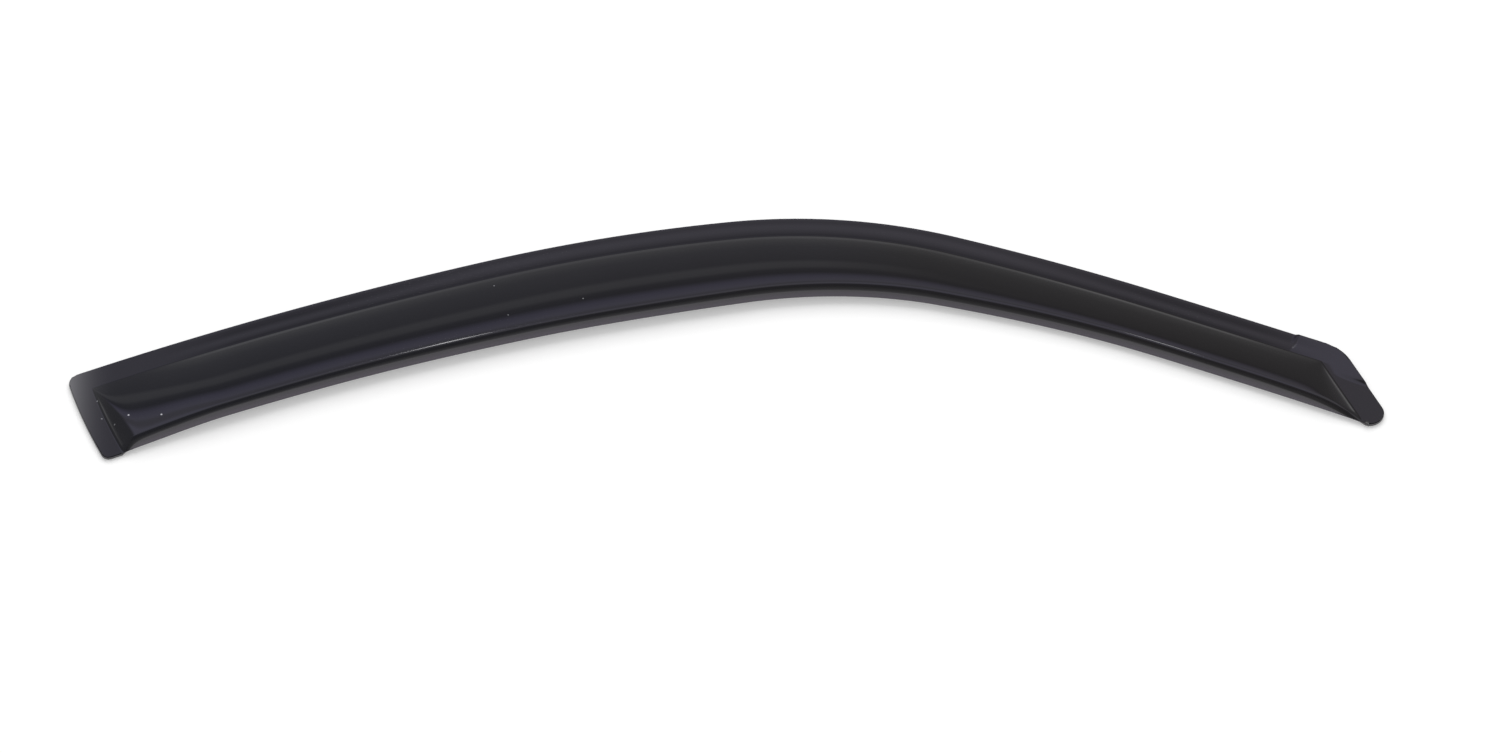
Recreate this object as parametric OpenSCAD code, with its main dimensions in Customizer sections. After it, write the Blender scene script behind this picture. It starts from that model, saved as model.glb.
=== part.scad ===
// Window rain deflector for one side window, moulded in one piece from smoke acrylic.
// It lies on its mounting flange, outer face up. The rail is the top edge of the flange, seen in plan:
// X runs forward along the car, and offsets from the rail run towards the window opening, along -Y.
// The origin is on the tape's sticky face, under the crown of the rail and at the middle of the tape.

/* [Rail] */
// Radius of the rail at its crown
crown_r = 430; // [300:5:900]
// Length of the crown arc behind the crown point
crown_rear_len = 51; // [20:1:90]
// Length of the crown arc ahead of the crown point
crown_front_len = 122; // [60:1:150]
// Radius of the shoulder behind the crown
rear_shoulder_r = 1210; // [700:10:3000]
// Length of that shoulder
rear_shoulder_len = 181; // [100:1:260]
// Radius of the long rear run
rear_run_r = 2800; // [1500:50:9000]
// Length of the long rear run
rear_run_len = 338; // [200:1:420]
// Radius of the front run
front_run_r = 2080; // [1200:20:9000]
// Length of the front run
front_run_len = 162; // [80:1:260]
// Radius of the nearly straight front tail
front_tail_r = 12800; // [4000:100:30000]
// Length of the front tail, up to where the raked cut meets the rail
front_tail_len = 144.5; // [110:1:260]

/* [Section] */
// Thickness of the acrylic
sheet_t = 2.8; // [2:0.1:3.2]
// Width of the flange that the tape sits under
flange_w = 16.2; // [14:0.1:22]
// Whole width of the rear run, square to the rail
rear_w = 80; // [70:0.2:100]
// Whole width where the taper starts
middle_w = 82.4; // [72:0.2:102]
// Whole width ahead of the taper
front_w = 57; // [54:0.2:68]
// Where the rear run starts to widen, along the rail from the crown
swell_from = -400; // [-440:5:-260]
// Where the taper starts
taper_from = -190; // [-220:5:-40]
// Where the taper ends
taper_to = 250; // [120:5:280]
// Height of the face over the flange behind the taper
rear_rise = 15.8; // [12:0.2:22]
// Height of the face over the flange ahead of the taper
front_rise = 10.9; // [10:0.2:18]
// Share of the face's width at which its first slope would reach full height, behind the taper
rear_fullness = 0.54; // [0.4:0.01:0.7]
// The same share ahead of the taper
front_fullness = 0.62; // [0.4:0.01:0.7]
// Radius of the crease between flange and face
crease_r = 3; // [1:0.1:6]
// Radius of the roll where the face turns down into the lip
roll_r = 4; // [3.6:0.1:6]
// Angle of the lip below the flange's plane
lip_angle = 72; // [55:1:82]
// Length of the lip below the roll
lip_len = 8; // [5:0.1:10]
// Bevel that breaks every moulded edge
edge_r = 0.6; // [0.2:0.05:0.9]

/* [Rear end] */
// Angle of the rear cut away from square
rear_rake = 0.5; // [-6:0.5:12]
// Bow of the rear cut
rear_bow = 2; // [0:0.2:6]
// Radius of the rear cut's upper corner
rear_top_r = 8.5; // [3:0.5:14]
// Radius of the rear cut's lower corner
rear_low_r = 5; // [2:0.5:10]
// Width of the rear end flange
rear_end_w = 16; // [14:0.2:24]
// Angle at which the rear slope leaves the end flange
rear_slope_angle = 51; // [34:1:58]
// Height of the face at the rear end
rear_end_rise = 11; // [8:0.2:15]
// Length over which the face climbs to its full height
rear_climb_len = 85; // [50:5:120]

/* [Front end] */
// Angle of the front cut away from square
front_rake = 50.4; // [30:0.2:54]
// Radius of the front cut's upper corner
front_top_r = 34; // [16:1:40]
// Radius of the front tip
front_tip_r = 10.3; // [5:0.1:12]
// Width of the front end flange
front_end_w = 19.5; // [16:0.2:24]
// Angle at which the front slope leaves the end flange
front_slope_angle = 35; // [26:1:50]
// Height of the face at the front end
front_end_rise = 10.2; // [8:0.2:12]
// Length over which the face reaches its front height
front_climb_len = 50; // [30:5:80]

/* [Joggle] */
// Lift of the flange's outer edge round the front corner
joggle_h = 1.6; // [0.4:0.1:2.5]
// Where the joggle starts, behind the front corner
joggle_back = 38; // [30:1:60]
// Where the joggle ends, below the rail on the end flange
joggle_down = 21; // [14:1:24]
// Length of the joggle's slope
joggle_slope = 4; // [2:0.5:8]

/* [Tape] */
// Thickness of the foam tape
tape_t = 1.2; // [0.8:0.1:2]
// Width of the foam tape
tape_w = 9.5; // [5:0.5:10]
// Distance from the moulding's edge to the tape
tape_inset = 2.6; // [1.5:0.1:3.4]
// Gap between one length of tape and the next
tape_gap = 2; // [1:0.5:6]

/* [Hidden] */
smoke = "#2b2b33";
foam = "#3a3a3c";

// Lengths along the rail, and the height of the flange's outer face
rear_len = crown_rear_len + rear_shoulder_len + rear_run_len;
front_len = crown_front_len + front_run_len + front_tail_len;
flange_top = tape_t + sheet_t;
rail_y = tape_inset + tape_w / 2;

// Shares that space the stations and the section's points
flange_shares = [0, 0.16, 0.26, 0.38, 0.53, 0.74];
end_shares = [0, 0.18, 0.27, 0.37, 0.5, 0.68, 0.85];
slope_shares = [0.1, 0.2, 0.31, 0.42, 0.54, 0.67, 0.83, 1];
climb_shares = [0.15, 0.35, 0.6];
crease_steps = 3;
face_steps = 9;
roll_steps = 6;
lip_steps = 2;
middle_steps = 42;

// The last share of a corner's rounding lies this far inside the end flange
corner_share = 0.85;
// Half the length over which the foot of an end slope is rounded
foot_len = 1;
// An end slope has lost half its steepness at this distance from its foot
slope_fade = 40;
// How sharply the face meets the end slopes: a higher power leaves a crisper hip
hip_power = 3.5;
// How many times the directions behind the body are averaged
even_times = 12;
// Most by which the sheet is thinner round the ends of the roll
drawn_off = 1.3;
// The stations of an end slope go this many times as far as it would climb at its first angle
slope_reach = 2;

function clamp01(a) = min(1, max(0, a));
function ease(a) = let(c = clamp01(a)) c * c * (3 - 2 * c);
function mix(a, b, k) = a + (b - a) * k;
function unit(v) = v / norm(v);

// A chain of arcs that leaves the crown and always turns down: [forward, down, heading] after length d
function arcs_end(arcs, d, i = 0, at = [0, 0, 0]) =
    let(
        last = i == len(arcs) - 1,
        part = last ? d : min(d, arcs[i][0]),
        turn = part / arcs[i][1] * 180 / PI,
        r = arcs[i][1],
        next = [
            at[0] + r * (sin(at[2] + turn) - sin(at[2])),
            at[1] + r * (cos(at[2]) - cos(at[2] + turn)),
            at[2] + turn
        ]
    )
    last || d <= arcs[i][0] ? next : arcs_end(arcs, d - arcs[i][0], i + 1, next);

rear_arcs = [
    [crown_rear_len, crown_r],
    [rear_shoulder_len, rear_shoulder_r],
    [rear_run_len, rear_run_r]
];
front_arcs = [
    [crown_front_len, crown_r],
    [front_run_len, front_run_r],
    [front_tail_len, front_tail_r]
];

// Plan point at distance s along the rail from the crown, and offset w from it
function plan(s, w) =
    let(
        side = s < 0 ? -1 : 1,
        e = arcs_end(s < 0 ? rear_arcs : front_arcs, abs(s)),
        heading = -side * e[2]
    )
    [side * e[0] + w * sin(heading), rail_y - e[1] - w * cos(heading)];

// How far a cut reaches past the rail's end at offset w, with both of its corners rounded
function cut_reach(w, rake, top_r, low_r, width) =
    w < top_r * (1 - sin(rake))
        ? top_r * tan(rake) - top_r / cos(rake) + sqrt(max(0, top_r * top_r - pow(top_r - w, 2)))
    : w > width - low_r * (1 + sin(rake))
        ? (width - low_r) * tan(rake) - low_r / cos(rake)
            + sqrt(max(0, low_r * low_r - pow(w - width + low_r, 2)))
    : w * tan(rake);

// The same for the line that lies d inside the cut, where the rounding has partly faded
function line_reach(w, d, rake, top_r, low_r, width, end_w) =
    let(
        straight = w * tan(rake),
        round_off = cut_reach(w, rake, top_r, low_r, width) - straight
    )
    straight - d / cos(rake) + round_off * max(0, 1 - d / (corner_share * end_w));

function rear_s(w, d, width) =
    let(a = w / width)
    -rear_len - line_reach(w, d, rear_rake, rear_top_r, rear_low_r, width, rear_end_w)
        - rear_bow * 4 * a * (1 - a);
function front_s(w, d, width) =
    front_len + line_reach(w, d, front_rake, front_top_r, front_tip_r, width, front_end_w);

// Height of an end slope at distance d inside its foot: steep at first, and gentler as it climbs
function slope(d, angle) =
    let(from_foot = d < foot_len ? pow(max(0, d + foot_len), 2) / (4 * foot_len) : d)
    tan(angle) * slope_fade * ln(1 + from_foot / slope_fade);

// Distances inside the two cuts of a station whose foot on the rail is at s
function rear_inside(s) = (s + rear_len) * cos(rear_rake);
function front_inside(s) = (front_len - s) * cos(front_rake);
function along(s) = ease((s - taper_from) / (taper_to - taper_from));
function width_at(s) =
    let(swell = ease((s - swell_from) / (taper_from - swell_from)))
    mix(mix(rear_w, middle_w, swell), front_w, along(s));
function rise_at(s) =
    let(
        full = mix(rear_rise, front_rise, along(s)),
        from_rear = ease((rear_inside(s) - rear_end_w) / rear_climb_len),
        from_front = ease((front_inside(s) - front_end_w) / front_climb_len)
    )
    mix(front_end_rise, mix(rear_end_rise, full, from_rear), from_front);
function rear_slope(s) = slope(rear_inside(s) - rear_end_w, rear_slope_angle);
function front_slope(s) = slope(front_inside(s) - front_end_w, front_slope_angle);

// The body's height h where it runs into the two end slopes, which cut it down to nothing at their feet
function hipped(h, rear, front) =
    h <= 0 || rear <= 0 || front <= 0 ? 0
    : h / pow(1 + pow(h / rear, hip_power) + pow(h / front, hip_power), 1 / hip_power);

// Full section of the body from the crease to the lip's edge: offset from the rail, height over the flange
function body_section(width, rise, fullness) =
    let(
        face_end = width - roll_r * sin(lip_angle) - lip_len * cos(lip_angle),
        crown = [mix(flange_w, face_end, fullness), rise],
        climb = atan2(crown[1], crown[0] - flange_w),
        tangent = crease_r * tan(climb / 2),
        start = [flange_w + tangent * cos(climb), tangent * sin(climb)],
        roll_end = [face_end + roll_r * sin(lip_angle), rise - roll_r * (1 - cos(lip_angle))]
    )
    [
        for (i = [0:crease_steps - 1])
            let(a = climb * i / crease_steps)
            [flange_w - tangent + crease_r * sin(a), crease_r * (1 - cos(a))],
        for (i = [0:face_steps])
            let(t = i / face_steps)
            start * pow(1 - t, 2) + crown * 2 * t * (1 - t) + [face_end, rise] * t * t,
        for (i = [1:roll_steps])
            let(a = lip_angle * i / roll_steps)
            [face_end + roll_r * sin(a), rise - roll_r * (1 - cos(a))],
        for (i = [1:lip_steps])
            let(d = lip_len * i / lip_steps)
            roll_end + [d * cos(lip_angle), -d * sin(lip_angle)]
    ];

// Share of its full height that the roll has at a station
function roll_share(s) = hipped(rise_at(s), rear_slope(s), front_slope(s)) / rise_at(s);

// Section at a station: the flange, then the body as far as the end slopes let it rise
function section(s) =
    let(
        fullness = mix(rear_fullness, front_fullness, along(s)),
        body = body_section(width_at(s), rise_at(s), fullness),
        roll_start = crease_steps + face_steps + 1
    )
    [
        for (a = flange_shares) [a * body[0][0], 0],
        for (i = [0:len(body) - 1])
            [
                body[i][0],
                i < roll_start
                    ? hipped(body[i][1], rear_slope(s), front_slope(s))
                    : roll_share(s) * body[i][1]
            ]
    ];

// Lift of the flange's outer edge round the front corner, which dies out at the crease
function joggle(s, w) =
    let(inside = (front_len + w * tan(front_rake) - s) * cos(front_rake))
    joggle_h
        * ease((s - front_len + joggle_back) / joggle_slope)
        * ease((joggle_down - w) / joggle_slope + 1)
        * clamp01(1 - min(w, inside) / flange_w);

// Stations: [rear distance, front distance, share of the way between them]
rear_slope_len = slope_reach * rear_end_rise / tan(rear_slope_angle);
front_slope_len = slope_reach * front_end_rise / tan(front_slope_angle);
rear_body_d = rear_end_w + rear_slope_len + climb_shares[2] * rear_climb_len;
front_body_d = front_end_w + front_slope_len + climb_shares[2] * front_climb_len;
function end_steps(end_w, slope_len, climb_len) = [
    for (a = end_shares) a * end_w,
    end_w - foot_len,
    end_w,
    end_w + foot_len,
    for (a = slope_shares) end_w + foot_len + a * (slope_len - foot_len),
    for (a = climb_shares) end_w + slope_len + a * climb_len
];
rear_steps = end_steps(rear_end_w, rear_slope_len, rear_climb_len);
front_steps = end_steps(front_end_w, front_slope_len, front_climb_len);
stations = [
    for (d = rear_steps) [d, front_body_d, 0],
    for (i = [1:middle_steps]) [rear_body_d, front_body_d, i / (middle_steps + 1)],
    for (i = [1:len(front_steps)]) [rear_body_d, front_steps[len(front_steps) - i], 1]
];

// Where the station's line starts on the rail
function foot_at(st) = mix(-rear_len + st[0] / cos(rear_rake), front_len - st[1] / cos(front_rake), st[2]);

// One row of surface points for a station
function row(st) =
    let(
        foot = foot_at(st),
        width = width_at(foot)
    )
    [
        for (p = section(foot))
            let(
                s = mix(rear_s(p[0], st[0], width), front_s(p[0], st[1], width), st[2]),
                xy = plan(s, p[0])
            )
            [xy[0], xy[1], flange_top + p[1] + joggle(s, p[0])]
    ];
face = [for (st = stations) row(st)];
last_i = len(face) - 1;
last_j = len(face[0]) - 1;

// Directions along and across the surface at a point, and the one that stands on it
function along_i(i, j) = face[min(i + 1, last_i)][j] - face[max(i - 1, 0)][j];
function along_j(i, j) = face[i][min(j + 1, last_j)] - face[i][max(j - 1, 0)];
raw_normals = [for (i = [0:last_i]) [for (j = [0:last_j]) unit(cross(along_j(i, j), along_i(i, j)))]];

row_shares = [for (st = stations) roll_share(foot_at(st))];
function on_flange(i, j) = row_shares[i] == 0 || j < len(flange_shares);

// Each averaged with its neighbours over the body, so that the inner face is smooth behind the hips
function evened(n, times) =
    times == 0 ? n
    : evened(
        [
            for (i = [0:last_i])
                [
                    for (j = [0:last_j])
                        on_flange(i, j) ? n[i][j]
                        : unit(2 * n[i][j] + n[max(i - 1, 0)][j] + n[min(i + 1, last_i)][j]
                            + n[i][max(j - 1, 0)] + n[i][min(j + 1, last_j)])
                ]
        ],
        times - 1
    );
normals = evened(raw_normals, even_times);

// The sheet's thickness, which is drawn off where the roll comes down to the end flanges
function sheet_at(i, j) =
    let(past_crease = clamp01((j - len(flange_shares) - crease_steps) / face_steps))
    sheet_t - drawn_off * 4 * row_shares[i] * (1 - row_shares[i]) * past_crease;

// Step from a border point square to the border, nothing for a point that isn't on it
function inward(i, j) =
    let(
        di = i == 0 ? 1 : i == last_i ? -1 : 0,
        dj = j == 0 ? 1 : j == last_j ? -1 : 0
    )
    di == 0 && dj == 0 ? [0, 0, 0]
    : edge_r * unit(cross(raw_normals[i][j], di * along_j(i, j) - dj * along_i(i, j)));

// The border, once round
border = [
    for (j = [0:last_j]) [0, j],
    for (i = [1:last_i]) [i, last_j],
    for (j = [1:last_j]) [last_i, last_j - j],
    for (i = [1:last_i - 1]) [last_i - i, 0]
];

shell_points = [
    for (i = [0:last_i]) for (j = [0:last_j]) face[i][j] + inward(i, j),
    for (i = [0:last_i]) for (j = [0:last_j]) face[i][j] + inward(i, j) - sheet_at(i, j) * normals[i][j],
    for (b = border) face[b[0]][b[1]] - edge_r * normals[b[0]][b[1]],
    for (b = border) face[b[0]][b[1]] - (sheet_at(b[0], b[1]) - edge_r) * normals[b[0]][b[1]]
];

row_n = last_j + 1;
sheet_n = (last_i + 1) * row_n;
rim_n = len(border);

function two(a, b, c, d) = [[a, c, b], [a, d, c]];
function on_sheet(k, b) = k * sheet_n + b[0] * row_n + b[1];
shell_quads = [
    for (i = [0:last_i - 1])
        for (j = [0:last_j - 1])
            let(a = i * row_n + j)
            each concat(
                two(a, a + 1, a + row_n + 1, a + row_n),
                two(sheet_n + a, sheet_n + a + row_n, sheet_n + a + row_n + 1, sheet_n + a + 1)
            ),
    for (n = [0:rim_n - 1])
        let(
            m = (n + 1) % rim_n,
            high = 2 * sheet_n,
            low = high + rim_n
        )
        each concat(
            two(on_sheet(0, border[m]), on_sheet(0, border[n]), high + n, high + m),
            two(high + m, high + n, low + n, low + m),
            two(low + m, low + n, on_sheet(1, border[n]), on_sheet(1, border[m]))
        )
];

module visor_shell() {
    color(smoke)
        polyhedron(points = shell_points, faces = shell_quads, convexity = 6);
}

// A flat strip of tape: two lines of plan points, out along the first and back along the second
module tape_strip(outer_line, inner_line) {
    color(foam)
        linear_extrude(height = tape_t)
            polygon(concat(outer_line, [for (i = [1:len(inner_line)]) inner_line[len(inner_line) - i]]));
}

tape_steps = 60;
end_tape_steps = 8;
tape_far = tape_inset + tape_w;

// The long tape follows the rail from the rear end to the joggle
top_tape_from = -rear_len + rear_top_r;
top_tape_to = front_len - joggle_back - tape_gap;
module top_tape() {
    tape_strip(
        [for (i = [0:tape_steps]) plan(mix(top_tape_from, top_tape_to, i / tape_steps), tape_inset)],
        [for (i = [0:tape_steps]) plan(mix(top_tape_from, top_tape_to, i / tape_steps), tape_far)]
    );
}

// The rear tape crosses the rear end flange below the long one
rear_tape_top = tape_far + tape_gap;
rear_tape_low = rear_w - rear_low_r - tape_inset;
module rear_tape() {
    lines = [
        for (d = [tape_inset, tape_far])
            [
                for (i = [0:end_tape_steps])
                    let(w = mix(rear_tape_top, rear_tape_low, i / end_tape_steps))
                    plan(rear_s(w, d, rear_w), w)
            ]
    ];
    tape_strip(lines[0], lines[1]);
}

// The front tape lies on the front end flange, between the joggle and the tip
front_tape_top = joggle_down + joggle_slope + tape_gap;
front_tape_low = front_w - front_tip_r - tape_inset;
module front_tape() {
    lines = [
        for (d = [tape_inset, tape_far])
            [
                for (i = [0:end_tape_steps])
                    let(w = mix(front_tape_top, front_tape_low, i / end_tape_steps))
                    plan(front_s(w, d, front_w), w)
            ]
    ];
    tape_strip(lines[0], lines[1]);
}

visor_shell();
top_tape();
rear_tape();
front_tape();
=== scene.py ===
"""Window rain deflector of smoke acrylic, lying on its mounting flange on a white table.

The CAD shell is replaced by the same surface on a finer grid, with a lip that keeps turning.
Lengths are in millimetres up to the point where a mesh is made, and in metres from there on.
"""

import math

import bpy
import numpy as np
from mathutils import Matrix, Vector


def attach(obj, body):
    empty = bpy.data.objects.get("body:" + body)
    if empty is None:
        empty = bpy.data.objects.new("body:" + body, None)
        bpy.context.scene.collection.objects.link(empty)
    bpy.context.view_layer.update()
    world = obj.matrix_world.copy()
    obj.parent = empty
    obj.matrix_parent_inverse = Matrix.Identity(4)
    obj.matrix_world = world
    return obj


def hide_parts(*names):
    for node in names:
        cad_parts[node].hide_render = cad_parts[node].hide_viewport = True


MM = 0.001

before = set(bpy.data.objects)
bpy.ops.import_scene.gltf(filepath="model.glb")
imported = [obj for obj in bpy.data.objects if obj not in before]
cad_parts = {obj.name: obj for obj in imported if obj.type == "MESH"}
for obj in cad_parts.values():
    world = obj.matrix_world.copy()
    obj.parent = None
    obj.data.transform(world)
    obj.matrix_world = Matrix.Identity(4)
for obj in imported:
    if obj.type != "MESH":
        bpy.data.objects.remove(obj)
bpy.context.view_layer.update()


# Driving sizes, the same as the CAD source's

CROWN_R, CROWN_REAR_LEN, CROWN_FRONT_LEN = 430, 51, 122
REAR_SHOULDER_R, REAR_SHOULDER_LEN = 1210, 181
REAR_RUN_R, REAR_RUN_LEN = 2800, 338
FRONT_RUN_R, FRONT_RUN_LEN = 2080, 162
FRONT_TAIL_R, FRONT_TAIL_LEN = 12800, 144.5

SHEET_T = 2.8
FLANGE_W = 16.2
REAR_W, MIDDLE_W, FRONT_W = 80, 82.4, 57
SWELL_FROM, TAPER_FROM, TAPER_TO = -400, -190, 250
REAR_RISE, FRONT_RISE = 15.8, 10.9
REAR_FULLNESS, FRONT_FULLNESS = 0.54, 0.62
CREASE_R = 3
ROLL_R = 4
LIP_ANGLE = math.radians(72)
LIP_LEN = 8
EDGE_R = 0.6

REAR_RAKE = math.radians(0.5)
REAR_BOW = 2
REAR_TOP_R, REAR_LOW_R = 8.5, 5
REAR_END_W, REAR_SLOPE_ANGLE = 16, math.radians(51)
REAR_END_RISE, REAR_CLIMB_LEN = 11, 85

FRONT_RAKE = math.radians(50.4)
FRONT_TOP_R, FRONT_TIP_R = 34, 10.3
FRONT_END_W, FRONT_SLOPE_ANGLE = 19.5, math.radians(35)
FRONT_END_RISE, FRONT_CLIMB_LEN = 10.2, 50

JOGGLE_H, JOGGLE_BACK, JOGGLE_DOWN, JOGGLE_SLOPE = 1.6, 38, 21, 4

TAPE_T, TAPE_W, TAPE_INSET = 1.2, 9.5, 2.6

# The last share of a corner's rounding lies this far inside the end flange
CORNER_SHARE = 0.85
# Half the length over which the foot of an end slope is rounded
FOOT_LEN = 1
# An end slope has lost half its steepness at this distance from its foot
SLOPE_FADE = 40
# How sharply the face meets the end slopes: a higher power leaves a crisper hip
HIP_POWER = 3.5
# Most by which the sheet is thinner round the ends of the roll
DRAWN_OFF = 1.3
# The stations of an end slope go this many times as far as it would climb at its first angle
SLOPE_REACH = 2

REAR_LEN = CROWN_REAR_LEN + REAR_SHOULDER_LEN + REAR_RUN_LEN
FRONT_LEN = CROWN_FRONT_LEN + FRONT_RUN_LEN + FRONT_TAIL_LEN
FLANGE_TOP = TAPE_T + SHEET_T
RAIL_Y = TAPE_INSET + TAPE_W / 2
REAR_ARCS = [(CROWN_REAR_LEN, CROWN_R), (REAR_SHOULDER_LEN, REAR_SHOULDER_R), (REAR_RUN_LEN, REAR_RUN_R)]
FRONT_ARCS = [(CROWN_FRONT_LEN, CROWN_R), (FRONT_RUN_LEN, FRONT_RUN_R), (FRONT_TAIL_LEN, FRONT_TAIL_R)]


# Surface formulas

def ease(a):
    """Smooth step from 0 to 1."""
    c = np.clip(a, 0, 1)
    return c * c * (3 - 2 * c)


def mix(a, b, k):
    return a + (b - a) * k


def arcs_end(arcs, d):
    """Forward, down and heading after length d along a chain of arcs that leaves the crown."""
    forward, down, heading = np.zeros_like(d), np.zeros_like(d), np.zeros_like(d)
    start = 0.0
    for i, (length, r) in enumerate(arcs):
        part = np.maximum(d - start, 0)
        if i < len(arcs) - 1:
            part = np.minimum(part, length)
        turned = heading + part / r
        forward = forward + r * (np.sin(turned) - np.sin(heading))
        down = down + r * (np.cos(heading) - np.cos(turned))
        heading = turned
        start += length
    return forward, down, heading


def plan(s, w):
    """Plan point at distance s along the rail from the crown, and offset w from it."""
    ahead = s >= 0
    side = np.where(ahead, 1, -1)
    front = arcs_end(FRONT_ARCS, np.maximum(s, 0))
    rear = arcs_end(REAR_ARCS, np.maximum(-s, 0))
    forward, down, turned = (np.where(ahead, f, r) for f, r in zip(front, rear))
    heading = -side * turned
    return side * forward + w * np.sin(heading), RAIL_Y - down - w * np.cos(heading)


def cut_reach(w, rake, top_r, low_r, width):
    """How far a cut reaches past the rail's end at offset w, with both of its corners rounded."""
    reach = w * math.tan(rake)
    top = top_r * math.tan(rake) - top_r / math.cos(rake)
    top = top + np.sqrt(np.maximum(0, top_r ** 2 - (top_r - w) ** 2))
    low = (width - low_r) * math.tan(rake) - low_r / math.cos(rake)
    low = low + np.sqrt(np.maximum(0, low_r ** 2 - (w - width + low_r) ** 2))
    reach = np.where(w > width - low_r * (1 + math.sin(rake)), low, reach)
    return np.where(w < top_r * (1 - math.sin(rake)), top, reach)


def line_reach(w, d, rake, top_r, low_r, width, end_w):
    """The same for the line that lies d inside the cut, where the rounding has partly faded."""
    straight = w * math.tan(rake)
    round_off = cut_reach(w, rake, top_r, low_r, width) - straight
    return straight - d / math.cos(rake) + round_off * np.maximum(0, 1 - d / (CORNER_SHARE * end_w))


def rear_s(w, d, width):
    """Place along the rail, at offset w, of the line that lies d inside the rear cut."""
    reach = line_reach(w, d, REAR_RAKE, REAR_TOP_R, REAR_LOW_R, width, REAR_END_W)
    a = w / width
    return -REAR_LEN - reach - REAR_BOW * 4 * a * (1 - a)


def front_s(w, d, width):
    """The same for the front cut."""
    return FRONT_LEN + line_reach(w, d, FRONT_RAKE, FRONT_TOP_R, FRONT_TIP_R, width, FRONT_END_W)


def slope(d, angle):
    """Height of an end slope at distance d inside its foot: steep at first, gentler as it climbs."""
    from_foot = np.where(d < FOOT_LEN, np.maximum(0, d + FOOT_LEN) ** 2 / (4 * FOOT_LEN), d)
    return math.tan(angle) * SLOPE_FADE * np.log(1 + np.maximum(from_foot, 0) / SLOPE_FADE)


def along(s):
    """How far the taper towards the front has come at a place along the rail."""
    return ease((s - TAPER_FROM) / (TAPER_TO - TAPER_FROM))


def width_at(s):
    swell = ease((s - SWELL_FROM) / (TAPER_FROM - SWELL_FROM))
    return mix(mix(REAR_W, MIDDLE_W, swell), FRONT_W, along(s))


def rear_inside(s):
    """How far inside the rear cut a place on the rail lies."""
    return (s + REAR_LEN) * math.cos(REAR_RAKE)


def front_inside(s):
    """The same for the front cut."""
    return (FRONT_LEN - s) * math.cos(FRONT_RAKE)


def rise_at(s):
    full = mix(REAR_RISE, FRONT_RISE, along(s))
    from_rear = ease((rear_inside(s) - REAR_END_W) / REAR_CLIMB_LEN)
    from_front = ease((front_inside(s) - FRONT_END_W) / FRONT_CLIMB_LEN)
    return mix(FRONT_END_RISE, mix(REAR_END_RISE, full, from_rear), from_front)


def hipped(h, rear, front):
    """The body's height between the two end slopes, which cut it down to nothing at their feet."""
    if rear <= 0 or front <= 0:
        return np.zeros_like(h)
    return h / (1 + (h / rear) ** HIP_POWER + (h / front) ** HIP_POWER) ** (1 / HIP_POWER)


# Steps of each part of the section
CREASE_STEPS, FACE_STEPS, ROLL_STEPS, LIP_STEPS = 7, 34, 16, 10

# The moulded lip keeps turning a little all the way to its edge, about the CAD section's straight lip
LIP_BEND, LIP_END = math.radians(58), math.radians(80)
BEND_R = 4.1
LIP_CURVE_LEN = 8.75


def body_section(width, rise, fullness):
    """The body's full section from crease to lip: offsets from the rail and heights over the flange."""
    face_end = width - ROLL_R * math.sin(LIP_ANGLE) - LIP_LEN * math.cos(LIP_ANGLE)
    crown = np.array([mix(FLANGE_W, face_end, fullness), rise])
    climb = math.atan2(crown[1], crown[0] - FLANGE_W)
    tangent = CREASE_R * math.tan(climb / 2)
    start = np.array([FLANGE_W + tangent * math.cos(climb), tangent * math.sin(climb)])
    end = np.array([face_end, rise])
    points = []
    for i in range(CREASE_STEPS):
        a = climb * i / CREASE_STEPS
        points.append((FLANGE_W - tangent + CREASE_R * math.sin(a), CREASE_R * (1 - math.cos(a))))
    for i in range(FACE_STEPS + 1):
        t = i / FACE_STEPS
        points.append(start * (1 - t) ** 2 + crown * 2 * t * (1 - t) + end * t * t)
    for i in range(1, ROLL_STEPS + 1):
        a = LIP_BEND * i / ROLL_STEPS
        points.append((face_end + BEND_R * math.sin(a), rise - BEND_R * (1 - math.cos(a))))
    for i in range(LIP_STEPS):
        a = mix(LIP_BEND, LIP_END, (i + 0.5) / LIP_STEPS)
        step = LIP_CURVE_LEN / LIP_STEPS
        points.append((points[-1][0] + step * math.cos(a), points[-1][1] - step * math.sin(a)))
    return np.array([tuple(p) for p in points])


# Shares that space the section's points across the flange
FLANGE_SHARES = (0, 0.08, 0.15, 0.22, 0.3, 0.4, 0.5, 0.6, 0.7, 0.8, 0.88, 0.95)


def section(s):
    """Section at a station: the flange, then the body as far as the end slopes let it rise.

    Gives the offsets, the heights and the share of its full height that the roll has.
    """
    rise = rise_at(s)
    body = body_section(width_at(s), rise, mix(REAR_FULLNESS, FRONT_FULLNESS, along(s)))
    rear = slope(rear_inside(s) - REAR_END_W, REAR_SLOPE_ANGLE)
    front = slope(front_inside(s) - FRONT_END_W, FRONT_SLOPE_ANGLE)
    share = float(hipped(np.array([rise]), rear, front)[0]) / rise
    roll_start = CREASE_STEPS + FACE_STEPS + 1
    w = np.concatenate([np.array(FLANGE_SHARES) * body[0, 0], body[:, 0]])
    face_z = hipped(body[:roll_start, 1], rear, front)
    z = np.concatenate([np.zeros(len(FLANGE_SHARES)), face_z, share * body[roll_start:, 1]])
    return w, z, share


def joggle(s, w):
    """Lift of the flange's outer edge round the front corner, which dies out at the crease."""
    inside = (FRONT_LEN + w * math.tan(FRONT_RAKE) - s) * math.cos(FRONT_RAKE)
    starts = ease((s - FRONT_LEN + JOGGLE_BACK) / JOGGLE_SLOPE)
    ends = ease((JOGGLE_DOWN - w) / JOGGLE_SLOPE + 1)
    return JOGGLE_H * starts * ends * np.clip(1 - np.minimum(w, inside) / FLANGE_W, 0, 1)


# Fine grid of the shell

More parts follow.
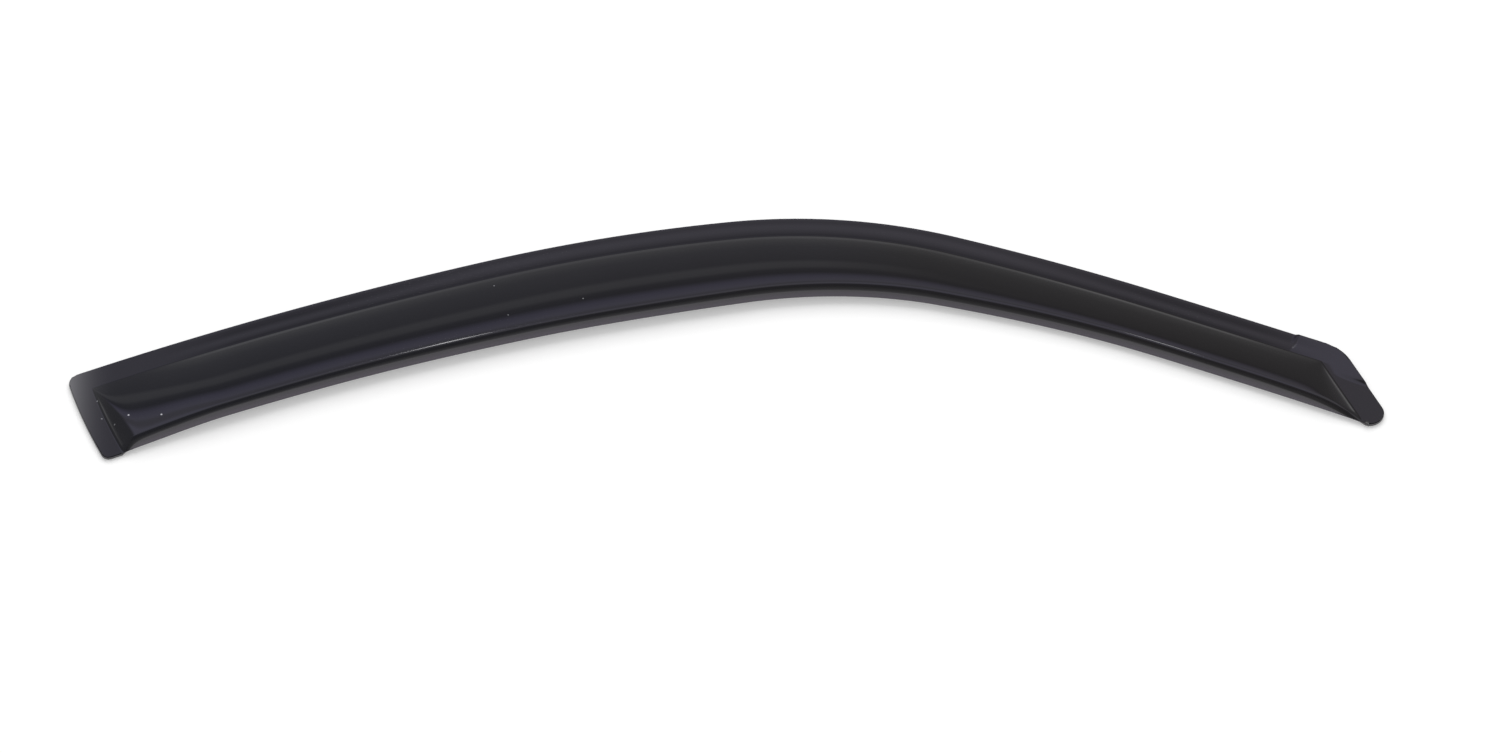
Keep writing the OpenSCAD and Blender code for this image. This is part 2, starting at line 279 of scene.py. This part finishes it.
END_STEPS, FOOT_STEPS, SLOPE_STEPS, CLIMB_STEPS, MIDDLE_STEPS = 14, 7, 30, 14, 200
# Share of the climb that has its own stations, and how far the end flange's stations go
CLIMB_SHARE = 0.6
LAST_FLANGE_SHARE = 0.95
# Powers that crowd the stations towards the cut and towards the slope's foot
FLANGE_CROWDING, SLOPE_CROWDING = 1.3, 1.2


def end_steps(end_w, rise, angle, climb_len):
    """Distances inside a cut where stations stand, close together on the flange and the slope."""
    top = end_w + SLOPE_REACH * rise / math.tan(angle)
    flange = (end_w - FOOT_LEN) * np.linspace(0, LAST_FLANGE_SHARE, END_STEPS) ** FLANGE_CROWDING
    foot = np.linspace(end_w - FOOT_LEN, end_w + FOOT_LEN, FOOT_STEPS)
    bank = mix(end_w + FOOT_LEN, top, np.linspace(0, 1, SLOPE_STEPS)[1:] ** SLOPE_CROWDING)
    climb = top + climb_len * CLIMB_SHARE * np.linspace(0, 1, CLIMB_STEPS)[1:]
    return np.concatenate([flange, foot, bank, climb])


def shell_rows():
    """Rows of surface points, one row for each station from the rear cut to the front cut.

    Gives the points, each row's roll share, and each point's place along the rail and across from it.
    """
    rear = end_steps(REAR_END_W, REAR_END_RISE, REAR_SLOPE_ANGLE, REAR_CLIMB_LEN)
    front = end_steps(FRONT_END_W, FRONT_END_RISE, FRONT_SLOPE_ANGLE, FRONT_CLIMB_LEN)
    stations = [(d, front[-1], 0) for d in rear]
    stations += [(rear[-1], front[-1], (i + 1) / (MIDDLE_STEPS + 1)) for i in range(MIDDLE_STEPS)]
    stations += [(rear[-1], d, 1) for d in front[::-1]]
    rows, shares, places = [], [], []
    for rear_d, front_d, share in stations:
        rear_foot = -REAR_LEN + rear_d / math.cos(REAR_RAKE)
        front_foot = FRONT_LEN - front_d / math.cos(FRONT_RAKE)
        foot = mix(rear_foot, front_foot, share)
        width = width_at(foot)
        w, z, roll_share = section(foot)
        s = mix(rear_s(w, rear_d, width), front_s(w, front_d, width), share)
        x, y = plan(s, w)
        rows.append(np.stack([x, y, FLANGE_TOP + z + joggle(s, w)], axis=1))
        shares.append(roll_share)
        places.append(np.stack([s, w], axis=1))
    return np.array(rows), np.array(shares), np.array(places)


def units(v):
    return v / np.linalg.norm(v, axis=-1, keepdims=True)


def grid_directions(rows):
    """Steps across and forward over a grid of points, from each point's neighbours."""
    padded_j = np.concatenate([rows[:, :1], rows, rows[:, -1:]], axis=1)
    padded_i = np.concatenate([rows[:1], rows, rows[-1:]], axis=0)
    return padded_j[:, 2:] - padded_j[:, :-2], padded_i[2:] - padded_i[:-2]


def border_indices(last_i, last_j):
    """The grid's border, once round."""
    ring = [(0, j) for j in range(last_j + 1)]
    ring += [(i, last_j) for i in range(1, last_i + 1)]
    ring += [(last_i, last_j - j) for j in range(1, last_j + 1)]
    ring += [(last_i - i, 0) for i in range(1, last_i)]
    return ring


def inward_steps(ring, last_i, last_j, across, forward, normals):
    """Unit steps from the border's points, square to the border."""
    steps = []
    for i, j in ring:
        di = 1 if i == 0 else -1 if i == last_i else 0
        dj = 1 if j == 0 else -1 if j == last_j else 0
        steps.append(units(np.cross(normals[i, j], di * across[i, j] - dj * forward[i, j])))
    return np.array(steps)


# How many times the directions behind the body are averaged
EVENED_TIMES = 100


def evened(normals):
    """Normals averaged with their neighbours."""
    p = np.pad(normals, ((1, 1), (1, 1), (0, 0)), mode="edge")
    return units(2 * normals + p[:-2, 1:-1] + p[2:, 1:-1] + p[1:-1, :-2] + p[1:-1, 2:])


def inner_directions(normals, shares):
    """Directions square to the outer face, evened over the body but not on the flange."""
    on_body = np.ones(normals.shape[:2], bool)
    on_body[:, :len(FLANGE_SHARES)] = False
    on_body[shares == 0] = False
    deep = normals
    for _ in range(EVENED_TIMES):
        deep = np.where(on_body[..., None], evened(deep), normals)
    return deep


def sheet_depths(shape, shares):
    """The sheet's thickness at each point, drawn off where the roll comes down to the end flanges."""
    columns = np.arange(shape[1])
    past_crease = np.clip((columns - len(FLANGE_SHARES) - CREASE_STEPS) / FACE_STEPS, 0, 1)
    return SHEET_T - DRAWN_OFF * 4 * (shares * (1 - shares))[:, None] * past_crease[None, :]


def make_mesh(name, points, faces):
    """A smooth-shaded object in the scene, from points in metres."""
    mesh = bpy.data.meshes.new(name)
    mesh.from_pydata([tuple(p) for p in points], [], faces)
    mesh.validate()
    mesh.polygons.foreach_set("use_smooth", [True] * len(mesh.polygons))
    mesh.update()
    piece = bpy.data.objects.new(name, mesh)
    bpy.context.scene.collection.objects.link(piece)
    return piece


def lay_uv(mesh, places):
    """A UV map in metres: along the rail from the crown, and across from the rail."""
    corners = np.empty(len(mesh.loops), dtype=np.int32)
    mesh.loops.foreach_get("vertex_index", corners)
    layer = mesh.uv_layers.new(name="along_across")
    layer.data.foreach_set("uv", (places[corners] * MM).ravel())


def at_border(grid, ring):
    """The grid's entries round its border."""
    return np.array([grid[i, j] for i, j in ring])


RIM_STEPS = 4


def rim_points(edge, steps, deep, depths):
    """Loops of points round the sheet's edge, rounded from the outer face and back to the inner one."""
    turns = [math.pi / 2 * k / RIM_STEPS for k in range(RIM_STEPS + 1)]
    loops = []
    for a in turns[1:]:
        loops.append(edge + EDGE_R * (1 - math.sin(a)) * steps - EDGE_R * (1 - math.cos(a)) * deep)
    for a in turns[:-1]:
        low = depths - EDGE_R + EDGE_R * math.sin(a)
        loops.append(edge + EDGE_R * (1 - math.cos(a)) * steps - low * deep)
    return loops


def grid_faces(ni, nj):
    """Faces of the outer sheet and, turned over, of the inner one, each with ni rows of nj points."""
    faces = []
    for i in range(ni - 1):
        for j in range(nj - 1):
            a = i * nj + j
            b = ni * nj + a
            faces.append((a, a + 1, a + nj + 1, a + nj))
            faces.append((b, b + nj, b + nj + 1, b + 1))
    return faces


def rim_faces(loops):
    """Faces between loops of points that follow each other from the outer face to the inner one."""
    faces = []
    for high, low in zip(loops[:-1], loops[1:]):
        for n in range(len(high)):
            m = (n + 1) % len(high)
            faces.append((high[m], high[n], low[n], low[m]))
    return faces


def make_shell():
    """The sheet's outer and inner face with a rounded rim between them, and its UV map."""
    rows, shares, places = shell_rows()
    across, forward = grid_directions(rows)
    normals = units(np.cross(across, forward))
    ni, nj = rows.shape[:2]
    ring = border_indices(ni - 1, nj - 1)
    steps = inward_steps(ring, ni - 1, nj - 1, across, forward, normals)
    outer = rows.copy()
    for (i, j), step in zip(ring, steps):
        outer[i, j] = outer[i, j] + EDGE_R * step
    deep = inner_directions(normals, shares)
    depths = sheet_depths((ni, nj), shares)[..., None]
    inner = outer - depths * deep
    rim = rim_points(at_border(rows, ring), steps, at_border(deep, ring), at_border(depths, ring))
    points = np.concatenate([outer.reshape(-1, 3), inner.reshape(-1, 3)] + rim)
    sheet_n, ring_n = ni * nj, len(ring)
    on_ring = [i * nj + j for i, j in ring]
    loops = [on_ring]
    loops += [[2 * sheet_n + k * ring_n + n for n in range(ring_n)] for k in range(len(rim))]
    loops += [[sheet_n + n for n in on_ring]]
    piece = make_mesh("deflector_shell", points * MM, grid_faces(ni, nj) + rim_faces(loops))
    sheet_places = places.reshape(-1, 2)
    lay_uv(piece.data, np.concatenate([sheet_places, sheet_places] + [at_border(places, ring)] * len(rim)))
    return piece


# Shader nodes

WHITE = (1, 1, 1, 1)


def new_material(name):
    material = bpy.data.materials.new(name)
    material.use_nodes = True
    tree = material.node_tree
    return material, tree, tree.nodes["Principled BSDF"]


def feed(tree, node, inputs):
    """Set a node's inputs, by name or number, to plain values, or link them from outputs."""
    for key, value in inputs.items():
        if isinstance(value, bpy.types.NodeSocket):
            tree.links.new(value, node.inputs[key])
        else:
            node.inputs[key].default_value = value


def add(tree, kind, inputs=None, **properties):
    """A node of that kind. Its properties come first, since some of them change which inputs it has."""
    node = tree.nodes.new(kind)
    for key, value in properties.items():
        setattr(node, key, value)
    feed(tree, node, inputs or {})
    return node


def maths(tree, operation, *values):
    """Result of a maths node on one or two values."""
    return add(tree, "ShaderNodeMath", dict(enumerate(values)), operation=operation).outputs["Value"]


def split(tree, vector):
    """The outputs X, Y and Z of a vector."""
    return add(tree, "ShaderNodeSeparateXYZ", {"Vector": vector}).outputs


def progress(tree, value, start, end, most=1.0):
    """How far a value has come from start to end: 0 before the start, and the most after the end."""
    inputs = {"Value": value, "From Min": start, "From Max": end, "To Max": most}
    return add(tree, "ShaderNodeMapRange", inputs).outputs["Result"]


def blend(tree, first, second, share, kind="RGBA"):
    """Mix of two colours, or of two numbers where the kind is FLOAT."""
    inputs = {"A": first, "B": second, "Factor": share}
    return add(tree, "ShaderNodeMix", inputs, data_type=kind).outputs["Result"]


def colour_ramp(tree, share, bands, span=1):
    """Colour at a share of the span, from bands that give a place in the span and the colour there."""
    node = add(tree, "ShaderNodeValToRGB", {"Fac": share})
    stops = node.color_ramp.elements
    while len(stops) < len(bands):
        stops.new(1.0)
    for stop, (where, colour) in zip(stops, bands):
        stop.position = where / span
        stop.color = colour + (1,)
    return node.outputs["Color"]


def noise(tree, place, inputs):
    return add(tree, "ShaderNodeTexNoise", {"Vector": place, **inputs}).outputs["Fac"]


def bump(tree, height, inputs):
    return add(tree, "ShaderNodeBump", {"Height": height, **inputs}).outputs["Normal"]


# Smoke acrylic

ACRYLIC_IOR = 1.49
COAT, COAT_ROUGHNESS, SPECULAR = 0.5, 0.03, 0.5
ROUGHNESS_FROM, ROUGHNESS_TO = 0.045, 0.10
HAZE = {"Scale": 22.0, "Detail": 5.0, "Roughness": 0.6}
WAVES = {"Scale": 9.0, "Detail": 1.5, "Roughness": 0.4}
WAVE_BUMP = {"Strength": 0.25, "Distance": 0.0006}
SMOKE_DARK = (0.0075, 0.0075, 0.0105, 1)
SMOKE_PALE = (0.0105, 0.0105, 0.0140, 1)
# The tint is a little warmer ahead of the crown than behind it, and the colour grows paler over the rear
# end
SMOKE_WARM = (0.0114, 0.0100, 0.0112, 1)
WARM_SPAN = (-0.40, 0.25)
REAR_PALE = (0.172, 0.171, 0.180, 1)
REAR_PALE_SPAN, REAR_PALE_POWER = (-0.505, -0.547), 3
# The lip's painted light, by the upward part of the normal: a purplish paleness painted into its colour for
# the table's white that comes through the lip a little
LIP_PAINTED_LIGHT = (0.034, 0.024, 0.044, 1)
LIP_PAINTED_FACING = ((0.00, (0, 0, 0)), (0.10, (1, 1, 1)), (0.30, (1, 1, 1)), (0.50, (0, 0, 0)))
# Painted reflection bands along the flange, with a painted dark line and a painted highlight line at its
# crease: the distance across from the rail, and how strongly the sheet shines and shows its tint there, in
# the middle of the length and towards its two ends
PAINTED_SHEEN_MIDDLE = (
    (0.0000, 1.10), (0.0015, 1.10), (0.0030, 0.92), (0.0045, 1.00), (0.0070, 1.18),
    (0.0095, 1.15), (0.0120, 0.95), (0.0138, 0.78), (0.0151, 0.62), (0.0160, 0.90),
    (0.0174, 1.40), (0.0190, 1.25), (0.0210, 1.00), (0.0260, 0.95),
)
PAINTED_SHEEN_ENDS = (
    (0.0000, 1.10), (0.0015, 1.10), (0.0032, 0.75), (0.0063, 0.68), (0.0080, 0.85),
    (0.0100, 1.05), (0.0115, 1.00), (0.0132, 0.82), (0.0149, 0.58), (0.0159, 0.75),
    (0.0174, 1.40), (0.0188, 1.25), (0.0205, 1.00), (0.0260, 0.95),
)
PAINTED_SHEEN_SPAN, PAINTED_SHEEN_FULL = 0.03, 1.6
# Where the middle of the painted bands is along the rail, and the distances from it over which the sets
# change and over which the painted bands fade out
PAINTED_SHEEN_CENTRE = -0.04
PAINTED_SHEEN_CHANGE = (0.20, 0.32)
PAINTED_SHEEN_FADE = (0.40, 0.46)
DUST = (0.55, 0.55, 0.58, 1)
# Specks of dust: where they lie, their radius and how much they cover
SPECKS = (
    (-0.5005, -0.1801, 0.0009, 1.0),
    (-0.4758, -0.1816, 0.0009, 1.0),
    (-0.5245, -0.1610, 0.0007, 0.4),
    (-0.5208, -0.1769, 0.0008, 0.4),
    (-0.5110, -0.1850, 0.0007, 0.3),
    (-0.2279, -0.0585, 0.0007, 0.5),
    (-0.2170, -0.0922, 0.0007, 0.3),
    (-0.1608, -0.0770, 0.0007, 0.4),
)


def painted_sheen_ramp(tree, across, sheen_bands):
    """One set of painted reflection bands as a share of PAINTED_SHEEN_FULL."""
    return colour_ramp(tree, across, [(w, (k / PAINTED_SHEEN_FULL,) * 3) for w, k in sheen_bands], PAINTED_SHEEN_SPAN)


def painted_sheen_strength(tree):
    """How strongly the sheet shines and shows its tint, from the shell's UV map: painted reflection bands
    along the flange and painted lines at its crease.
    """
    place = split(tree, add(tree, "ShaderNodeUVMap", uv_map="along_across").outputs["UV"])
    across = maths(tree, "DIVIDE", place["Y"], PAINTED_SHEEN_SPAN)
    away = maths(tree, "ABSOLUTE", maths(tree, "SUBTRACT", place["X"], PAINTED_SHEEN_CENTRE))
    # Painted reflection bands, with a painted dark line and a painted highlight line at the crease
    middle = painted_sheen_ramp(tree, across, PAINTED_SHEEN_MIDDLE)
    ends = painted_sheen_ramp(tree, across, PAINTED_SHEEN_ENDS)
    sheen_bands = blend(tree, middle, ends, progress(tree, away, *PAINTED_SHEEN_CHANGE))
    strength = maths(tree, "MULTIPLY", sheen_bands, PAINTED_SHEEN_FULL)
    return blend(tree, strength, 1.0, progress(tree, away, *PAINTED_SHEEN_FADE), kind="FLOAT")


def speck_mask(tree, place):
    """How much the specks of dust cover at a point, seen in plan."""
    flat = add(tree, "ShaderNodeMapping", {"Vector": place, "Scale": (1, 1, 0)}).outputs["Vector"]
    covered = 0
    for x, y, radius, cover in SPECKS:
        off = add(tree, "ShaderNodeVectorMath", {0: flat, 1: (x, y, 0)}, operation="DISTANCE")
        spot = progress(tree, off.outputs["Value"], radius, radius / 2, cover)
        covered = maths(tree, "MAXIMUM", covered, spot)
    return covered


def scaled(tree, colour, factor):
    """A colour times a factor."""
    inputs = {"Vector": colour, "Scale": factor}
    return add(tree, "ShaderNodeVectorMath", inputs, operation="SCALE").outputs["Vector"]


def smoke_tint(tree, place, haze, strength):
    """The acrylic's colour, with the painted reflection bands, the painted light through the lip, the paler
    rear end and the dust.
    """
    forward = split(tree, place)["X"]
    cloudy = blend(tree, SMOKE_DARK, SMOKE_PALE, haze)
    warmed = blend(tree, cloudy, SMOKE_WARM, progress(tree, forward, *WARM_SPAN))
    # The painted reflection bands scale the colour
    sheen_scaled = scaled(tree, warmed, strength)
    facing = split(tree, add(tree, "ShaderNodeNewGeometry").outputs["True Normal"])["Z"]
    # Painted light through the lip, on the faces that look about sideways
    lip_lit = blend(tree, sheen_scaled, LIP_PAINTED_LIGHT, colour_ramp(tree, facing, LIP_PAINTED_FACING))
    # The colour grows paler over the last few centimetres of the rear end
    rear_share = maths(tree, "POWER", progress(tree, forward, *REAR_PALE_SPAN), REAR_PALE_POWER)
    rear_paled = blend(tree, lip_lit, REAR_PALE, rear_share)
    return blend(tree, rear_paled, DUST, speck_mask(tree, place))


def smoke_acrylic():
    """Polished dark acrylic: a slow waviness of the moulding, faint haze, and a few specks of dust."""
    material, tree, shader = new_material("smoke_acrylic")
    place = add(tree, "ShaderNodeTexCoord").outputs["Object"]
    haze = noise(tree, place, HAZE)
    # Strength of the painted reflection bands, which also sets the shine and the coat
    strength = painted_sheen_strength(tree)
    rough = {"Value": haze, "To Min": ROUGHNESS_FROM, "To Max": ROUGHNESS_TO}
    feed(tree, shader, {
        "IOR": ACRYLIC_IOR,
        "Base Color": smoke_tint(tree, place, haze, strength),
        "Specular IOR Level": maths(tree, "MULTIPLY", strength, SPECULAR),
        "Coat Weight": maths(tree, "MULTIPLY", strength, COAT),
        "Coat Roughness": COAT_ROUGHNESS,
        "Roughness": add(tree, "ShaderNodeMapRange", rough).outputs["Result"],
        "Normal": bump(tree, noise(tree, place, WAVES), WAVE_BUMP),
    })
    return material


# Foam tape

FOAM_DARK = (0.030, 0.030, 0.032, 1)
FOAM_PALE = (0.055, 0.055, 0.057, 1)
FOAM_ROUGHNESS = 0.92
FOAM_CELLS = 2600.0
FOAM_BUMP = {"Strength": 0.6, "Distance": 0.0002}


def foam_tape():
    """Matt grey-black foam with a fine closed-cell grain."""
    material, tree, shader = new_material("foam_tape")
    place = add(tree, "ShaderNodeTexCoord").outputs["Object"]
    cells = add(tree, "ShaderNodeTexVoronoi", {"Vector": place, "Scale": FOAM_CELLS}).outputs["Distance"]
    feed(tree, shader, {
        "Base Color": blend(tree, FOAM_DARK, FOAM_PALE, cells),
        "Roughness": FOAM_ROUGHNESS,
        "Normal": bump(tree, cells, FOAM_BUMP),
    })
    return material


# White table

FLOOR_LIT = (0.80, 0.80, 0.80, 1)
FLOOR_GLOW = 0.30


def white_table():
    """White table: lit by the lamps, with a share of its white from itself for what looks at it."""
    material, tree, shader = new_material("white_table")
    tree.nodes.remove(shader)
    lit = add(tree, "ShaderNodeBsdfDiffuse", {"Color": FLOOR_LIT}).outputs[0]
    glow = add(tree, "ShaderNodeEmission", {"Color": WHITE, "Strength": FLOOR_GLOW}).outputs[0]
    glowing = add(tree, "ShaderNodeAddShader", {0: lit, 1: glow}).outputs[0]
    rays = add(tree, "ShaderNodeLightPath").outputs
    seen = maths(tree, "MAXIMUM", rays["Is Camera Ray"], rays["Is Glossy Ray"])
    seen = maths(tree, "MAXIMUM", seen, rays["Is Transmission Ray"])
    choice = add(tree, "ShaderNodeMixShader", {0: seen, 1: lit, 2: glowing}).outputs[0]
    feed(tree, tree.nodes["Material Output"], {"Surface": choice})
    return material


# The deflector

shell = make_shell()
shell.data.materials.append(smoke_acrylic())
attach(shell, "root")
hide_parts("visor_shell")

foam = foam_tape()
for name in ("top_tape", "rear_tape", "front_tape"):
    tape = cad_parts[name]
    tape.data.materials.clear()
    tape.data.materials.append(foam)


# Table and lamps

FLOOR_SIZE = 16
# The table lies a hair under the tapes' faces, so that no two faces share one plane
FLOOR_GAP = 0.00005

# Place, aim, width and height, and power of each lamp
TABLE_LAMP = ((0, 1.1, 2.4), (0, -0.1, 0), (3.0, 2.4), 36)
REAR_STRIP = ((-0.2605, 0.5065, 1.086), (-0.2675, -0.118, 0.020), (0.045, 0.169), 0.0021)
FRONT_STRIP = ((0.2733, 0.1803, 0.515), (0.2868, -0.1197, 0.015), (0.045, 0.069), 0.00048)
STRIP_SPREAD = math.radians(16)


def make_floor():
    bpy.ops.mesh.primitive_plane_add(size=FLOOR_SIZE, location=(0, 0, -FLOOR_GAP))
    floor = bpy.context.object
    floor.name = "table_top"
    floor.data.materials.append(white_table())


def area_light(name, place, aim, size, power):
    lamp = bpy.data.lights.new(name, "AREA")
    lamp.shape = "RECTANGLE"
    lamp.size, lamp.size_y = size
    lamp.energy = power
    holder = bpy.data.objects.new(name, lamp)
    holder.location = place
    holder.rotation_mode = "QUATERNION"
    holder.rotation_quaternion = (Vector(aim) - Vector(place)).to_track_quat("-Z", "Y")
    holder.visible_camera = False
    holder.visible_glossy = False
    bpy.context.scene.collection.objects.link(holder)
    return holder


def strip_light(name, place, aim, size, power):
    """A gridded strip that only glossy surfaces near its aim see, for one of the two glints on the roll."""
    holder = area_light(name, place, aim, size, power)
    holder.data.spread = STRIP_SPREAD
    holder.visible_diffuse = False
    holder.visible_glossy = True


# Studio

HALF_TURN = 180
# Angle of a direction in degrees, from the far horizon over the top to the near one, and its colour
LEFT_BANDS = (
    (0, (0.66, 0.66, 0.67)),
    (2, (0.55, 0.55, 0.56)),
    (4, (0.28, 0.28, 0.29)),
    (12, (0.20, 0.20, 0.22)),
    (26, (0.19, 0.19, 0.21)),
    (29.5, (0.34, 0.34, 0.36)),
    (34, (0.33, 0.33, 0.35)),
    (37, (0.17, 0.17, 0.19)),
    (41, (0.14, 0.14, 0.16)),
    (46, (0.42, 0.40, 0.58)),
    (51, (0.56, 0.54, 0.72)),
    (53.5, (0.45, 0.435, 0.52)),
    (56.5, (0.45, 0.435, 0.52)),
    (60, (0.66, 0.64, 0.84)),
    (86, (0.60, 0.59, 0.74)),
    (98, (0.15, 0.15, 0.17)),
    (125, (0.13, 0.13, 0.14)),
    (150, (0.16, 0.16, 0.16)),
    (172, (0.30, 0.30, 0.30)),
    (180, (0.60, 0.60, 0.60)),
)
RIGHT_BANDS = (
    (0, (1.00, 1.00, 1.00)),
    (2, (0.80, 0.80, 0.80)),
    (4, (0.24, 0.24, 0.24)),
    (12, (0.18, 0.18, 0.18)),
    (36, (0.17, 0.17, 0.17)),
    (41, (0.14, 0.14, 0.15)),
    (46, (0.38, 0.36, 0.46)),
    (51, (0.54, 0.52, 0.60)),
    (54, (0.40, 0.39, 0.42)),
    (60, (0.64, 0.63, 0.70)),
    (86, (0.58, 0.57, 0.62)),
    (98, (0.15, 0.15, 0.17)),
    (125, (0.13, 0.13, 0.14)),
    (150, (0.16, 0.16, 0.16)),
    (172, (0.30, 0.30, 0.30)),
    (180, (0.60, 0.60, 0.60)),
)
# Sideways part of a direction over which the left bands give way to the right ones
BANDS_MEET = (0.02, 0.10)
# Sideways parts of a direction between which the bands give way to the end walls
BANDS_END = (0.42, 0.56)
# The end walls by the upward part of a direction
END_WALL = (
    (0.00, (1.00, 1.00, 1.00)),
    (0.03, (0.80, 0.80, 0.80)),
    (0.06, (0.34, 0.34, 0.35)),
    (0.10, (0.22, 0.22, 0.23)),
    (1.00, (0.20, 0.20, 0.21)),
)
# Strength of the plain level that lights everything else
WORLD_LEVEL = 0.64


def studio_colour(tree):
    """Colour of the studio in a direction: long level bands, and a wall at each end."""
    direction = split(tree, add(tree, "ShaderNodeTexCoord").outputs["Generated"])
    angle = maths(tree, "ARCTAN2", direction["Z"], direction["Y"])
    share = maths(tree, "DIVIDE", angle, math.pi)
    left = colour_ramp(tree, share, LEFT_BANDS, HALF_TURN)
    right = colour_ramp(tree, share, RIGHT_BANDS, HALF_TURN)
    bands = blend(tree, left, right, progress(tree, direction["X"], *BANDS_MEET))
    wall = colour_ramp(tree, direction["Z"], END_WALL)
    sideways = maths(tree, "ABSOLUTE", direction["X"])
    return blend(tree, bands, wall, progress(tree, sideways, *BANDS_END))


def make_world():
    """The studio for what glossy surfaces see, a plain level for the rest, and white for the camera."""
    world = bpy.data.worlds.new("studio")
    bpy.context.scene.world = world
    world.use_nodes = True
    tree = world.node_tree
    tree.nodes.clear()
    mirrored, level, white = (
        add(tree, "ShaderNodeBackground", {"Color": colour, "Strength": strength}).outputs[0]
        for colour, strength in ((studio_colour(tree), 1.0), (WHITE, WORLD_LEVEL), (WHITE, 1.0))
    )
    rays = add(tree, "ShaderNodeLightPath").outputs
    unseen = add(tree, "ShaderNodeMixShader", {0: rays["Is Glossy Ray"], 1: level, 2: mirrored}).outputs[0]
    shown = add(tree, "ShaderNodeMixShader", {0: rays["Is Camera Ray"], 1: unseen, 2: white}).outputs[0]
    add(tree, "ShaderNodeOutputWorld", {"Surface": shown})


# Camera

# The photograph is 1500 by 753 pixels, and one of its pixels is 0.75 mm on the object
PHOTO_PIXELS, PIXEL_SIZE = 1500, 0.75
PHOTO_WIDTH = PHOTO_PIXELS * PIXEL_SIZE * MM
CAMERA_ELEVATION = math.radians(55)
CAMERA_DISTANCE = 16.0
CAMERA_AIM = Vector((-0.0355, -0.1354, 0))
SENSOR_WIDTH = 36
CLIP_NEAR, CLIP_FAR = 0.1, 100


def make_camera():
    data = bpy.data.cameras.new("camera")
    data.sensor_width = SENSOR_WIDTH
    data.lens = SENSOR_WIDTH * CAMERA_DISTANCE / PHOTO_WIDTH
    data.clip_start, data.clip_end = CLIP_NEAR, CLIP_FAR
    camera = bpy.data.objects.new("camera", data)
    back = Vector((0, -math.cos(CAMERA_ELEVATION), math.sin(CAMERA_ELEVATION)))
    camera.location = CAMERA_AIM + CAMERA_DISTANCE * back
    camera.rotation_mode = "QUATERNION"
    camera.rotation_quaternion = (-back).to_track_quat("-Z", "Y")
    bpy.context.scene.collection.objects.link(camera)
    bpy.context.scene.camera = camera


make_floor()
make_world()
area_light("table_lamp", *TABLE_LAMP)
strip_light("rear_strip", *REAR_STRIP)
strip_light("front_strip", *FRONT_STRIP)
make_camera()
bpy.context.scene.view_settings.view_transform = "Standard"
